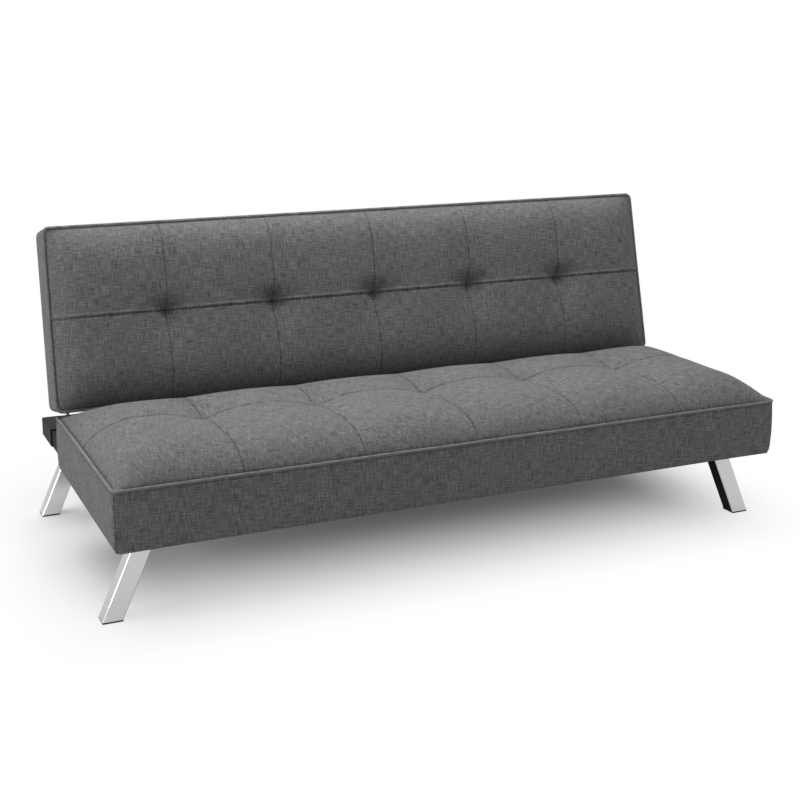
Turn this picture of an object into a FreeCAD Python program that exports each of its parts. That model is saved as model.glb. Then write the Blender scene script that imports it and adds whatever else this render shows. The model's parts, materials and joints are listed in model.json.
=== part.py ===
# Armless fold-down sofa bed: a padded seat on a steel frame with splayed chrome legs,
# and a padded back that turns down flat on two ratchet hinges behind the seat.
# Millimetres. X runs along the seat, Y from front to back, Z up, with the floor at Z = 0.
import FreeCAD
import Part
import math
import os
import re

doc = FreeCAD.newDocument("SofaBed")
sheet = doc.addObject("Spreadsheet::Sheet", "Sizes")

SIZES = {
    # Seat box and its crown
    "seat_width": 1650, "seat_depth": 600, "seat_bottom": 195, "seat_edge": 328,
    "seat_crown": 55, "seat_tuft": 42, "border_wall": 10, "piping_radius": 4,
    "soft_gap": 0.3, "piping_sides": 8, "panel_columns": 6, "corner_radius": 14,
    "seat_shelf": 55, "shelf_rise": 2,
    # Steel base frame
    "frame_tube": 40, "tube_wall": 2, "frame_bottom": 205, "rail_overhang": 247,
    "cap_length": 115, "cap_wall": 3, "cap_bevel": 2, "seat_tube_inset": 35,
    # Splayed legs, their plates and glides
    "leg_width": 45, "leg_depth": 41, "leg_wall": 2, "leg_angle": 24, "foot_out": 15,
    "front_leg_y": 115, "rear_leg_inset": 35, "glide_height": 4, "leg_plate": 80,
    "leg_plate_wall": 4,
    # Elastic webbing and the dust cover
    "strap_width": 60, "strap_wall": 2, "seat_straps": 9, "back_straps": 4,
    "dust_wall": 1, "dust_rise": 1, "leg_hole_gap": 4,
    # Back: its corner stands over the seat's rear edge
    "back_height": 425, "back_depth": 105, "back_lean": 13, "back_overlap": 40,
    "back_rise": 16, "back_crown": 28, "back_tuft": 12, "back_tube": 25,
    "back_tube_wall": 1.5, "back_tube_inset": 12, "back_panel_wall": 3, "pad_depth": 70,
    # Ratchet hinge
    "pivot_behind": 13.8, "pivot_drop": 27.3, "arm_wall": 6, "arm_width": 22, "arm_reach": 160,
    "arm_foot": 18, "plate_wall": 3, "plate_gap": 0.4, "plate_round": 13.2,
    "bracket_length": 58, "ratchet_radius": 13, "notch_radius": 2.5, "half_recline": 38,
    "pin_radius": 5, "pin_gap": 0.05, "pin_head": 8, "pin_head_wall": 3,
    "pawl_drop": 38, "pawl_boss": 8, "pawl_pin_radius": 4, "pawl_width": 7, "nose_gap": 0.5,
    "pawl_side_gap": 0.3, "leaf_wall": 0.8, "leaf_height": 20, "leaf_gap": 1, "slit_gap": 1,
}

# Places worked out from the sizes above
PLACES = {
    "half_width": "(seat_width / 2)",
    "foot_reach": "(half_width + foot_out)",
    "rail_end": "(seat_depth + rail_overhang)",
    "rear_leg_y": "(rail_end - rear_leg_inset)",
    "seat_tube_y": "(seat_depth - seat_tube_inset)",
    "front_y": "(-(rail_end + cap_wall) / 2)",
    "rear_y": "(front_y + seat_depth)",
    "border_top": "(seat_edge - piping_radius)",
    "frame_top": "(frame_bottom + frame_tube)",
    "strap_top": "(frame_top + strap_wall)",
    "rail_outer": "(half_width - border_wall)",
    "rail_inner": "(rail_outer - frame_tube)",
    "hinge_x": "(rail_outer - frame_tube / 2)",
    "leg_top": "(frame_bottom - leg_plate_wall)",
    "leg_run": "((leg_top - glide_height) * tan(leg_angle))",
    "back_y": "(rear_y - back_overlap)",
    "back_z": "(seat_edge + back_rise)",
    "pivot_y": "(rear_y + pivot_behind)",
    "pivot_z": "(seat_edge - pivot_drop)",
    "pivot_w": "((pivot_y - back_y) * cos(back_lean) - (pivot_z - back_z) * sin(back_lean))",
    "pivot_v": "((pivot_y - back_y) * sin(back_lean) + (pivot_z - back_z) * cos(back_lean))",
    "pawl_z": "(pivot_z - pawl_drop)",
    "pawl_length": "(pawl_drop - ratchet_radius - nose_gap)",
    "tube_outer": "(hinge_x - arm_wall / 2)",
    "tube_front": "(pad_depth + strap_wall)",
    "plate_face": "(arm_wall / 2 + plate_gap)",
    "bracket_half": "(plate_face + plate_wall)",
}

for row, (alias, number) in enumerate(SIZES.items(), start=1):
    sheet.set(f"A{row}", alias)
    sheet.set(f"B{row}", str(number))
    sheet.setAlias(f"B{row}", alias)
doc.recompute()

SIDES = (("left", -1), ("right", 1))
ENDS = (("front", "front_leg_y"), ("rear", "rear_leg_y"))
parts = []


def expression(text):
    """Write out the places and point every size at its cell."""
    names = re.compile(r"\b(" + "|".join(PLACES) + r")\b")
    while names.search(text):
        text = names.sub(lambda found: PLACES[found.group(1)], text)
    return re.sub(r"\b(" + "|".join(SIZES) + r")\b", r"Sizes.\1", text)


def bind(obj, **sizes):
    for prop, text in sizes.items():
        obj.setExpression(prop, expression(text))
    return obj


def place(obj, x, y, z, axis="1; 0; 0", angle="0", on_back=False):
    """Bind a Placement; on the back, X, Y and Z are along, through and up the leaning back."""
    text = f"placement(vector({x}; {y}; {z}); rotation(vector({axis}); {angle}))"
    if on_back:
        lean = "placement(vector(0; back_y; back_z); rotation(vector(1; 0; 0); -back_lean))"
        text = f"{lean} * {text}"
    obj.setExpression("Placement", expression(text))
    return obj


def box(name, length, width, height, x, y, z, on_back=False):
    solid = doc.addObject("Part::Box", name)
    bind(solid, Length=length, Width=width, Height=height)
    return place(solid, x, y, z, on_back=on_back)


def rod(name, radius, length, x, y, z, on_back=False):
    """A cylinder that lies along X, starting at x."""
    solid = doc.addObject("Part::Cylinder", name)
    bind(solid, Radius=radius, Height=length)
    return place(solid, x, y, z, axis="0; 1; 0", angle="90", on_back=on_back)


def cut(name, base, *tools):
    for number, tool in enumerate(tools):
        result = doc.addObject("Part::Cut", f"{name}_cut{number}")
        result.Base = base
        result.Tool = tool
        base = result
    return base


def fuse(name, *solids):
    result = doc.addObject("Part::MultiFuse", name)
    result.Shapes = list(solids)
    result.Refine = True
    return result


def group(name, solids):
    result = doc.addObject("Part::Compound", name)
    result.Links = list(solids)
    return result


def keep(obj, label):
    """Name a finished sub-part."""
    obj.Label = label
    parts.append(obj)
    return obj


def from_side(sign, inner, width):
    """Lower X of a piece whose inner face is that far from the middle, on either side."""
    return f"({inner})" if sign > 0 else f"(-({inner}) - ({width}))"


def square_tube(name, length, width, height, x, y, z, axis, wall, on_back=False):
    """A rectangular tube, open at both ends along one axis."""
    outer = box(f"{name}_outer", length, width, height, x, y, z, on_back)
    spans = [length, width, height]
    starts = [x, y, z]
    for index, letter in enumerate("XYZ"):
        if letter != axis:
            spans[index] = f"({spans[index]}) - 2 * {wall}"
            starts[index] = f"({starts[index]}) + {wall}"
    return cut(name, outer, box(f"{name}_bore", *spans, *starts, on_back))


# Side rails carry everything and run out behind the seat to the rear legs
for side, sign in SIDES:
    rail_x = from_side(sign, "rail_inner", "frame_tube")
    rail = square_tube(f"rail_{side}", "frame_tube", "rail_end - border_wall", "frame_tube",
                       rail_x, "front_y + border_wall", "frame_bottom", "Y", "tube_wall")
    keep(rail, f"side_rail_{side}")
    cap_width = "frame_tube + 2 * cap_wall"
    cap_x = from_side(sign, "rail_inner - cap_wall", cap_width)
    sleeve = box(f"cap_{side}_outer", cap_width, "cap_length + cap_wall", cap_width, cap_x,
                 "front_y + rail_end - cap_length", "frame_bottom - cap_wall")
    doc.recompute()
    rounded = doc.addObject("Part::Chamfer", f"cap_{side}_bevel")
    rounded.Base = sleeve
    rounded.Edges = [(edge, sheet.cap_bevel, sheet.cap_bevel) for edge in range(1, 13)]
    hollow = box(f"cap_{side}_bore", "frame_tube", "cap_length", "frame_tube", rail_x,
                 "front_y + rail_end - cap_length", "frame_bottom")
    opening = "frame_tube + 2 * soft_gap"
    passage = box(f"cap_{side}_passage", "2 * cap_wall", opening, opening,
                  from_side(sign, "rail_inner - 2 * cap_wall", "2 * cap_wall"),
                  "front_y + rear_leg_y - frame_tube / 2 - soft_gap", "frame_bottom - soft_gap")
    keep(cut(f"cap_{side}", rounded, hollow, passage), f"rail_cap_{side}")

# Cross tubes between the rails, and a middle tube under the seat
for label, centre in (("front_cross_tube", "front_leg_y"), ("rear_cross_tube", "rear_leg_y"),
                      ("seat_cross_tube", "seat_tube_y")):
    tube = square_tube(label, "2 * rail_inner", "frame_tube", "frame_tube", "-rail_inner",
                       f"front_y + {centre} - frame_tube / 2", "frame_bottom", "X", "tube_wall")
    keep(tube, label)
middle = square_tube("middle", "frame_tube", "seat_tube_y - front_leg_y - frame_tube", "frame_tube",
                     "-frame_tube / 2", "front_y + front_leg_y + frame_tube / 2", "frame_bottom",
                     "Y", "tube_wall")
keep(middle, "middle_tube")


def leaning_block(name, sign, inset, depth, y):
    """A square bar that runs from the foot inwards and up; inset thins it to make the bore."""
    block = doc.addObject("Part::Wedge", name)
    foot = f"foot_reach - {inset}" if sign > 0 else f"-foot_reach + leg_width - {inset}"
    bind(block, Xmin=f"{foot} - leg_width + 2 * {inset}", Xmax=foot, Ymin="0", Ymax="leg_top - glide_height",
         Zmin="0", Zmax=depth, X2min=f"{foot} - leg_width + 2 * {inset} - {sign} * leg_run",
         X2max=f"{foot} - {sign} * leg_run", Z2min="0", Z2max=depth)
    return place(block, "0", y, "glide_height", angle="90")


# Legs splay outwards only, under the cross tubes, each on a black glide
plates = []
for end, centre in ENDS:
    for side, sign in SIDES:
        name = f"leg_{end}_{side}"
        middle_y = f"front_y + {centre}"
        shell = leaning_block(f"{name}_outer", sign, "0", "leg_depth", f"{middle_y} + leg_depth / 2")
        bore = leaning_block(f"{name}_bore", sign, "leg_wall", "leg_depth - 2 * leg_wall",
                             f"{middle_y} + leg_depth / 2 - leg_wall")
        keep(cut(name, shell, bore), name)
        glide_x = from_side(sign, "foot_reach - leg_width", "leg_width")
        glide = box(f"glide_{end}_{side}", "leg_width", "leg_depth", "glide_height", glide_x,
                    f"{middle_y} - leg_depth / 2", "0")
        keep(glide, f"glide_{end}_{side}")
        plate_x = from_side(sign, "foot_reach - leg_width / 2 - leg_run - leg_plate / 2", "leg_plate")
        plates.append(box(f"{name}_plate", "leg_plate", "frame_tube", "leg_plate_wall", plate_x,
                          f"{middle_y} - frame_tube / 2", "leg_top"))
keep(group("plates", plates), "leg_plates")

# Webbing on the seat frame, and a dust cover below it with holes for the front legs
straps = []
for number in range(int(sheet.seat_straps)):
    pitch = f"((2 * rail_inner - strap_width) / (seat_straps - 1) * {number})"
    straps.append(box(f"seat_strap_{number}", "strap_width", "seat_tube_y - front_leg_y + frame_tube",
                      "strap_wall", f"-rail_inner + {pitch}", "front_y + front_leg_y - frame_tube / 2",
                      "frame_top"))
keep(group("seat_straps_all", straps), "seat_webbing")
cover = box("dust_sheet", "seat_width - 2 * border_wall - 2 * soft_gap",
            "seat_depth - 2 * border_wall - 2 * soft_gap", "dust_wall", "-rail_outer + soft_gap",
            "front_y + border_wall + soft_gap", "seat_bottom + dust_rise")
holes = []
for side, sign in SIDES:
    hole_width = "leg_width + 4 * leg_hole_gap"
    hole_x = from_side(sign, "foot_reach - leg_width - leg_run - leg_hole_gap", hole_width)
    holes.append(box(f"dust_hole_{side}", hole_width, "leg_depth + 2 * leg_hole_gap",
                     "3 * dust_wall", hole_x, "front_y + front_leg_y - leg_depth / 2 - leg_hole_gap",
                     "seat_bottom + dust_rise - dust_wall"))
keep(cut("dust", cover, *holes), "dust_cover")

# Seat borders; the rear one is notched over the rails
border_height = "border_top - seat_bottom"
keep(box("seat_front", "seat_width", "border_wall", border_height, "-half_width", "front_y", "seat_bottom"),
     "seat_border_front")
rear_border = box("seat_rear", "seat_width", "border_wall", border_height, "-half_width",
                  "rear_y - border_wall", "seat_bottom")
notches = []
for side, sign in SIDES:
    notches.append(box(f"rail_notch_{side}", "frame_tube + 2 * soft_gap", "3 * border_wall",
                       "frame_top + soft_gap - seat_bottom",
                       from_side(sign, "rail_inner - soft_gap", "frame_tube + 2 * soft_gap"),
                       "rear_y - 2 * border_wall", "seat_bottom"))
    keep(box(f"seat_{side}", "border_wall", "seat_depth - 2 * border_wall", border_height,
             from_side(sign, "rail_outer", "border_wall"), "front_y + border_wall", "seat_bottom"),
         f"seat_border_{side}")
keep(cut("seat_rear_border", rear_border, *notches), "seat_border_rear")


# A sewn panel rises quickly from its seams; the shares are parts of the height from tuft to crown
PANEL_FULLNESS = 0.6
UPRIGHT_SEAM_SHARE = 0.35
LEVEL_SEAM_SHARE = 0.4
OUTER_EDGE_SHARE = 0.04
PANEL_STEPS = (0.0, 0.16, 0.5, 0.84)


def panel_heights(place_in_row, column, columns, crown, tuft):
    """Crown between the seams and height on the cross seam, at 0 to 1 across one sewn panel."""
    swell = math.sin(math.pi * place_in_row) ** PANEL_FULLNESS
    seam = tuft + UPRIGHT_SEAM_SHARE * (crown - tuft)
    level_rise = LEVEL_SEAM_SHARE * (crown - tuft)
    outer_left = column == 0 and place_in_row < 0.5
    outer_right = column == columns - 1 and place_in_row > 0.5
    if outer_left or outer_right:
        edge = max(swell, OUTER_EDGE_SHARE)
        return crown * edge, (tuft + level_rise) * edge
    return seam + (crown - seam) * swell, tuft + level_rise * swell


def cushion(width, depth, base, crown, tuft, columns, shelf=0, shelf_rise=0):
    """A pad sewn in columns by two rows: ruled between profiles of lines and two arcs each.

    A shelf is the flat strip along the rear edge that another cushion rests over.
    """
    row = (depth - shelf) / 4
    stations = [(column, step) for column in range(columns) for step in PANEL_STEPS]
    stations.append((columns - 1, 1.0))
    profiles = []
    for column, step in stations:
        x = width * ((column + step) / columns - 0.5)
        top, seam = panel_heights(step, column, columns, crown, tuft)
        outline = [(0, 0), (row, top), (2 * row, seam), (3 * row, top), (4 * row, shelf_rise),
                   (depth, -base), (0, -base)]
        if shelf:
            outline.insert(5, (depth, shelf_rise))
        points = [FreeCAD.Vector(x, y, z) for y, z in outline]
        edges = [Part.Arc(*points[0:3]).toShape(), Part.Arc(*points[2:5]).toShape()]
        for start, end in zip(points[4:], points[5:] + points[:1]):
            edges.append(Part.LineSegment(start, end).toShape())
        profiles.append(Part.Wire(edges))
    return Part.makeLoft(profiles, True, True)


def piping_loop(width, depth, radius, corner, sides):
    """A cord round a rectangle from the origin, with round corners, in the XY plane."""
    half = width / 2 - radius
    low, high = radius, depth - radius
    corners = ((half, high, 0), (-half, high, 90), (-half, low, 180), (half, low, 270))
    edges = []
    last = None
    first = None
    for x, y, turn in corners:
        centre = FreeCAD.Vector(x - math.copysign(corner, x), y + (corner if y == low else -corner), 0)
        ends = []
        for step in (0, 45, 90):
            angle = math.radians(turn + step)
            ends.append(centre + FreeCAD.Vector(corner * math.cos(angle), corner * math.sin(angle), 0))
        if last:
            edges.append(Part.LineSegment(last, ends[0]).toShape())
        first = first or ends[0]
        edges.append(Part.Arc(*ends).toShape())
        last = ends[2]
    edges.append(Part.LineSegment(last, first).toShape())
    path = Part.Wire(edges)
    tangent = edges[0].tangentAt(edges[0].FirstParameter)
    outward = tangent.cross(FreeCAD.Vector(0, 0, 1))
    turns = [2 * math.pi * (number + 0.5) / sides for number in range(sides + 1)]
    ring = Part.makePolygon([first + outward * radius * math.cos(turn)
                             + FreeCAD.Vector(0, 0, radius * math.sin(turn)) for turn in turns])
    return path.makePipeShell([ring], True, False)


# Seat cushion and the piping along its edge
inside = 2 * (sheet.border_wall + sheet.soft_gap)
columns = int(sheet.panel_columns)
seat_pad = doc.addObject("Part::Feature", "seat_pad")
seat_base = sheet.seat_edge - sheet.frame_bottom - sheet.frame_tube - sheet.strap_wall - sheet.soft_gap
seat_pad.Shape = cushion(sheet.seat_width - inside, sheet.seat_depth - inside, seat_base,
                         sheet.seat_crown, sheet.seat_tuft, columns, sheet.seat_shelf, sheet.shelf_rise)
keep(place(seat_pad, "0", "front_y + border_wall + soft_gap", "seat_edge"), "seat_pad")
seat_piping = doc.addObject("Part::Feature", "seat_piping")
seat_piping.Shape = piping_loop(sheet.seat_width, sheet.seat_depth, sheet.piping_radius, sheet.corner_radius,
                                 int(sheet.piping_sides))
keep(place(seat_piping, "0", "front_y", "seat_edge"), "seat_piping")

# Back frame of four tubes with webbing across it
for side, sign in SIDES:
    tube = square_tube(f"back_{side}", "back_tube", "back_tube", "back_height - 2 * back_tube_inset",
                       from_side(sign, "tube_outer - back_tube", "back_tube"), "tube_front",
                       "back_tube_inset", "Z", "back_tube_wall", True)
    keep(tube, f"back_side_tube_{side}")
back_span = "2 * (tube_outer - back_tube)"
for label, height in (("back_bottom_tube", "back_tube_inset"),
                      ("back_top_tube", "back_height - back_tube_inset - back_tube")):
    tube = square_tube(label, back_span, "back_tube", "back_tube", "-(tube_outer - back_tube)", "tube_front",
                       height, "X", "back_tube_wall", True)
    keep(tube, label)
straps = []
strap_room = "(back_height - 2 * back_tube_inset - 2 * back_tube - strap_width)"
for number in range(int(sheet.back_straps)):
    height = f"back_tube_inset + back_tube + {strap_room} / (back_straps - 1) * {number}"
    straps.append(box(f"back_strap_{number}", "2 * tube_outer - back_tube", "strap_wall", "strap_width",
                      "-tube_outer + back_tube / 2", "pad_depth", height, True))
keep(group("back_straps_all", straps), "back_webbing")

# Back cushion, slotted low down for the two hinge arms
back_pad = doc.addObject("Part::Feature", "back_pad_whole")
back_pad.Shape = cushion(sheet.seat_width - inside, sheet.back_height - inside,
                         sheet.pad_depth - sheet.soft_gap, sheet.back_crown, sheet.back_tuft, columns)
place(back_pad, "0", "0", "border_wall + soft_gap", angle="90", on_back=True)
slit_width = "arm_wall + 2 * slit_gap"
pad_slots = []
border_slits = []
for side, sign in SIDES:
    slit_x = from_side(sign, "hinge_x - arm_wall / 2 - slit_gap", slit_width)
    slit_start = "pivot_w - arm_width / 2 - slit_gap"
    pad_slots.append(box(f"pad_slot_{side}", slit_width, "pad_depth", "arm_foot + arm_width + slit_gap",
                         slit_x, slit_start, "0", True))
    border_slits.append(box(f"border_slit_{side}", slit_width, "arm_width + 2 * slit_gap", "3 * border_wall",
                            slit_x, slit_start, "-border_wall", True))
keep(cut("back_pad", back_pad, *pad_slots), "back_pad")

# Back borders, piping and the flat rear panel
skirt = "back_depth - back_panel_wall - piping_radius"
bottom = box("back_bottom", "2 * rail_outer", skirt, "border_wall", "-rail_outer", "piping_radius", "0", True)
keep(cut("back_bottom_border", bottom, *border_slits), "back_border_bottom")
keep(box("back_top", "2 * rail_outer", skirt, "border_wall", "-rail_outer", "piping_radius",
         "back_height - border_wall", True), "back_border_top")
for side, sign in SIDES:
    keep(box(f"back_edge_{side}", "border_wall", skirt, "back_height",
             from_side(sign, "rail_outer", "border_wall"), "piping_radius", "0", True), f"back_border_{side}")
keep(box("back_rear", "seat_width", "back_panel_wall", "back_height", "-half_width",
         "back_depth - back_panel_wall", "0", True), "back_panel")
back_piping = doc.addObject("Part::Feature", "back_piping")
back_piping.Shape = piping_loop(sheet.seat_width, sheet.back_height, sheet.piping_radius, sheet.corner_radius,
                                 int(sheet.piping_sides))
keep(place(back_piping, "0", "0", "0", angle="90", on_back=True), "back_piping")

# Ratchet hinges: a bracket on each rail, an arm on the back, and a sprung pawl between its plates
for side, sign in SIDES:
    middle_x = f"({sign} * hinge_x)"
    arm_x = f"{middle_x} - arm_wall / 2"
    disc = rod(f"ratchet_{side}", "ratchet_radius", "arm_wall", arm_x, "pivot_w", "pivot_v", True)
    neck = box(f"neck_{side}", "arm_wall", "arm_width", "arm_foot + arm_width - pivot_v", arm_x,
               "pivot_w - arm_width / 2", "pivot_v", True)
    elbow = box(f"elbow_{side}", "arm_wall", "tube_front + back_tube - pivot_w + arm_width / 2", "arm_width",
                arm_x, "pivot_w - arm_width / 2", "arm_foot", True)
    blade = box(f"blade_{side}", "arm_wall", "back_tube", "arm_reach - arm_foot", arm_x, "tube_front",
                "arm_foot", True)
    drill_x = f"{middle_x} - 1.5 * arm_wall"
    bore = rod(f"arm_bore_{side}", "pin_radius + pin_gap", "3 * arm_wall", drill_x,
               "pivot_w", "pivot_v", True)
    detents = []
    for number, turn in enumerate(("0", "half_recline", "90 - back_lean")):
        rim = "(ratchet_radius + notch_radius / 2)"
        angle = f"({turn} - 90 + back_lean)"
        detents.append(rod(f"detent_{side}_{number}", "notch_radius", "3 * arm_wall", drill_x,
                           f"pivot_w + {rim} * cos{angle}", f"pivot_v + {rim} * sin{angle}", True))
    blank = fuse(f"arm_blank_{side}", disc, neck, elbow, blade)
    keep(cut(f"arm_{side}", blank, bore, *detents), f"hinge_arm_{side}")

    # Bracket: a foot on the rail and two upright plates with round tops
    foot = box(f"foot_{side}", "frame_tube", "bracket_length", "plate_wall", f"{middle_x} - frame_tube / 2",
               "rear_y + soft_gap", "frame_top")
    solids = [foot]
    for letter, start in (("a", "-bracket_half"), ("b", "plate_face")):
        plate_x = f"{middle_x} + ({start})"
        solids.append(box(f"plate_{side}_{letter}", "plate_wall", "2 * plate_round", "pivot_z - frame_top",
                          plate_x, "pivot_y - plate_round", "frame_top"))
        solids.append(rod(f"plate_top_{side}_{letter}", "plate_round", "plate_wall", plate_x,
                          "pivot_y", "pivot_z"))
    pin_reach = "2 * bracket_half"
    pin_start = f"{middle_x} - bracket_half"
    bores = []
    for letter, radius, height in (("p", "pin_radius", "pivot_z"), ("q", "pawl_pin_radius", "pawl_z")):
        bores.append(rod(f"plate_bore_{side}_{letter}", f"{radius} + pin_gap", f"2 * {pin_reach}",
                         f"{middle_x} - 2 * bracket_half", "pivot_y", height))
    keep(cut(f"bracket_{side}", fuse(f"bracket_blank_{side}", *solids), *bores), f"hinge_bracket_{side}")

    pawl_head = "pawl_pin_radius + plate_wall"
    for label, radius, head, height in (("pivot_pin", "pin_radius", "pin_head", "pivot_z"),
                                        ("pawl_pin", "pawl_pin_radius", pawl_head, "pawl_z")):
        shank = rod(f"{label}_{side}_shank", radius, pin_reach, pin_start, "pivot_y", height)
        head_starts = (f"{pin_start} - pin_head_wall", f"{middle_x} + bracket_half")
        caps = [rod(f"{label}_{side}_head{number}", head, "pin_head_wall", start, "pivot_y", height)
                for number, start in enumerate(head_starts)]
        keep(fuse(f"{label}_{side}", shank, *caps), f"{label}_{side}")

    pawl_wall = "(arm_wall - 2 * pawl_side_gap)"
    pawl_x = f"{middle_x} - {pawl_wall} / 2"
    boss = rod(f"pawl_boss_{side}", "pawl_boss", pawl_wall, pawl_x, "pivot_y", "pawl_z")
    strut = box(f"pawl_strut_{side}", pawl_wall, "pawl_width", "pawl_length - pawl_width / 2", pawl_x,
                "pivot_y - pawl_width / 2", "pawl_z")
    nose = rod(f"pawl_nose_{side}", "pawl_width / 2", pawl_wall, pawl_x, "pivot_y",
               "pawl_z + pawl_length - pawl_width / 2")
    pawl_bore = rod(f"pawl_bore_{side}", "pawl_pin_radius + pin_gap", "3 * arm_wall", drill_x,
                    "pivot_y", "pawl_z")
    keep(cut(f"pawl_{side}", fuse(f"pawl_blank_{side}", boss, strut, nose), pawl_bore), f"pawl_{side}")
    leaf = box(f"leaf_{side}", pawl_wall, "leaf_wall", "leaf_height", pawl_x,
               "pivot_y - pawl_boss - leaf_gap - leaf_wall", "frame_top + plate_wall")
    keep(leaf, f"pawl_spring_{side}")

doc.recompute()
for obj in doc.Objects:
    if "Invalid" in obj.State or "Error" in obj.State:
        raise RuntimeError(f"{obj.Name} failed: {obj.State}")
for part in parts:
    if part.Shape.isNull() or not part.Shape.isValid() or not part.Shape.Solids:
        raise RuntimeError(f"{part.Label} has no valid solid")

os.makedirs("parts", exist_ok=True)
for part in parts:
    part.Shape.exportStep(f"parts/{part.Label}.step")
print(len(parts), "sub-parts written")
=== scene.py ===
# %% [markdown]
# # Dressing a fold-down sofa bed
# The steel frame, hinges and feet arrive as finished solids. What is missing is everything a hand would
# touch: two sewn cushions, the cloth bands round them, piped edges, chrome and black finishes.

# %% Load the frame
import bpy
import json
import math
from mathutils import Matrix, Vector, noise


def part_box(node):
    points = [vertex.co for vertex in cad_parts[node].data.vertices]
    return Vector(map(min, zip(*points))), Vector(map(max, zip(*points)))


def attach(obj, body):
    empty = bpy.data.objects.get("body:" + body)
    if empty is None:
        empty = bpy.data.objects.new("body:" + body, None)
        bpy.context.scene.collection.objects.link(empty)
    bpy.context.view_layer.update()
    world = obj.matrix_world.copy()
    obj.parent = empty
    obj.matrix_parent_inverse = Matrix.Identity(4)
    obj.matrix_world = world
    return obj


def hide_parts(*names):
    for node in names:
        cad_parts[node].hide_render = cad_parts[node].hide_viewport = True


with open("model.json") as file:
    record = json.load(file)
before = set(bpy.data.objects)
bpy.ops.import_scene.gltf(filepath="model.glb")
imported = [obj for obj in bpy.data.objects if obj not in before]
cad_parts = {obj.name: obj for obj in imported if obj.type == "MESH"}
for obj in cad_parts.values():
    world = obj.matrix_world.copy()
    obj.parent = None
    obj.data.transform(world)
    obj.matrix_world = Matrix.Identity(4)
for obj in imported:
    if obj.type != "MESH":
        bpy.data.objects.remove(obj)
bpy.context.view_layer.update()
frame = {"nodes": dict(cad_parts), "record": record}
MM = 0.001

# %% [markdown]
# ## Where the seat is
# The seat's box is read from its borders and piping, so the cloth can't drift away from the frame that
# carries it. The photo shows the cover's piped edge a little lower than the solids have it.

# %% Seat place
front_low, front_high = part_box("seat_border_front")
rear_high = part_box("seat_border_rear")[1]
piping_low, piping_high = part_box("seat_piping")
SEAT_WIDTH = front_high[0] - front_low[0]
SEAT_FRONT = front_low[1]
SEAT_DEPTH = rear_high[1] - SEAT_FRONT
SEAT_BOTTOM = front_low[2]
FRAME_EDGE = (piping_low[2] + piping_high[2]) / 2
PIPING_RADIUS = (piping_high[2] - piping_low[2]) / 2
EDGE_SAG = 7 * MM
SEAT_EDGE = FRAME_EDGE - EDGE_SAG
seat_place = Matrix.Translation((0, SEAT_FRONT, SEAT_EDGE))
print("seat", round(SEAT_WIDTH, 3), "by", round(SEAT_DEPTH, 3), "edge at", round(SEAT_EDGE, 3))

# %% [markdown]
# ## Where the back is
# The back leans, so its sizes can't be read from an upright box; they repeat the part's own. It gets a
# matrix too: in the back's space X runs along it, Y goes up its face and Z stands out of the face, which
# is how the seat lies as well. One set of functions can then sew both cushions.

# %% Back place
BACK_LEAN = math.radians(13)
BACK_HEIGHT = 425 * MM
BACK_DEPTH = 105 * MM
BACK_OVERLAP = 40 * MM
BACK_RISE = 16 * MM
PANEL_WALL = 3 * MM
back_corner = Vector((0, SEAT_FRONT + SEAT_DEPTH - BACK_OVERLAP, FRAME_EDGE + BACK_RISE))
back_place = Matrix.Translation(back_corner) @ Matrix.Rotation(math.radians(90) - BACK_LEAN, 4, "X")
print("back corner", [round(value, 3) for value in back_corner])

# %% [markdown]
# ## Small helpers
# An operator acts on whatever is selected, so each step first selects exactly one object. Modifiers are
# applied as soon as they have done their work, which leaves plain meshes.

# %% Selecting and finishing
def pick(obj):
    bpy.ops.object.select_all(action="DESELECT")
    obj.select_set(True)
    bpy.context.view_layer.objects.active = obj
    return obj


def apply_all(obj):
    pick(obj)
    for modifier in list(obj.modifiers):
        bpy.ops.object.modifier_apply(modifier=modifier.name)


def subdivide(obj, levels, kind="CATMULL_CLARK"):
    modifier = obj.modifiers.new("finer", "SUBSURF")
    modifier.subdivision_type = kind
    modifier.levels = levels
    modifier.render_levels = levels
    apply_all(obj)


def add_cube(name, size, centre):
    bpy.ops.object.select_all(action="DESELECT")
    bpy.ops.mesh.primitive_cube_add(size=1, location=centre)
    obj = bpy.context.object
    obj.name = name
    obj.scale = size
    bpy.ops.object.transform_apply(location=True, rotation=True, scale=True)
    return obj


def smooth_by_angle(obj, degrees=40):
    pick(obj)
    bpy.ops.object.shade_smooth_by_angle(angle=math.radians(degrees))


def dress(obj, material):
    obj.data.materials.clear()
    obj.data.materials.append(material)


print("helpers ready in", bpy.app.version_string)

# %% [markdown]
# ## Covers are not boxes
# The back's cover spreads at its foot and narrows again towards the top, and it stands a little over the
# frame's ends. The seat's cover spreads at the sides and sinks under the back. Both functions bend a
# finished piece that way and put it in place.

# %% Putting covers in place
TOP_PULL = 0.009
FOOT_SPREAD = 0.009
TOP_OVER = 8 * MM
FOOT_UNDER = 8 * MM
SIDE_SPREAD = 0.004
REAR_SAG = 5 * MM
REAR_SAG_REACH = 60 * MM


def stand_back(obj):
    """Draw the cover in towards its top, let it stand over the frame's ends, and lean it."""
    for vertex in obj.data.vertices:
        share = vertex.co.y / BACK_HEIGHT
        vertex.co.x *= 1 + FOOT_SPREAD - TOP_PULL * share
        vertex.co.y += TOP_OVER * share - FOOT_UNDER * (1 - share)
    obj.data.transform(back_place)


def lay_seat(obj):
    """Let the seat's cover stand a little over the sides, and put it in place."""
    for vertex in obj.data.vertices:
        vertex.co.x *= 1 + SIDE_SPREAD
        under = min(max(1 - (SEAT_DEPTH - vertex.co.y) / REAR_SAG_REACH, 0.0), 1.0)
        if vertex.co.z > -REAR_SAG_REACH:
            vertex.co.z -= REAR_SAG * under
    obj.data.transform(seat_place)


print("seat cover spreads", round(SEAT_WIDTH / 2 * SIDE_SPREAD / MM, 1), "mm at each side")

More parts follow.
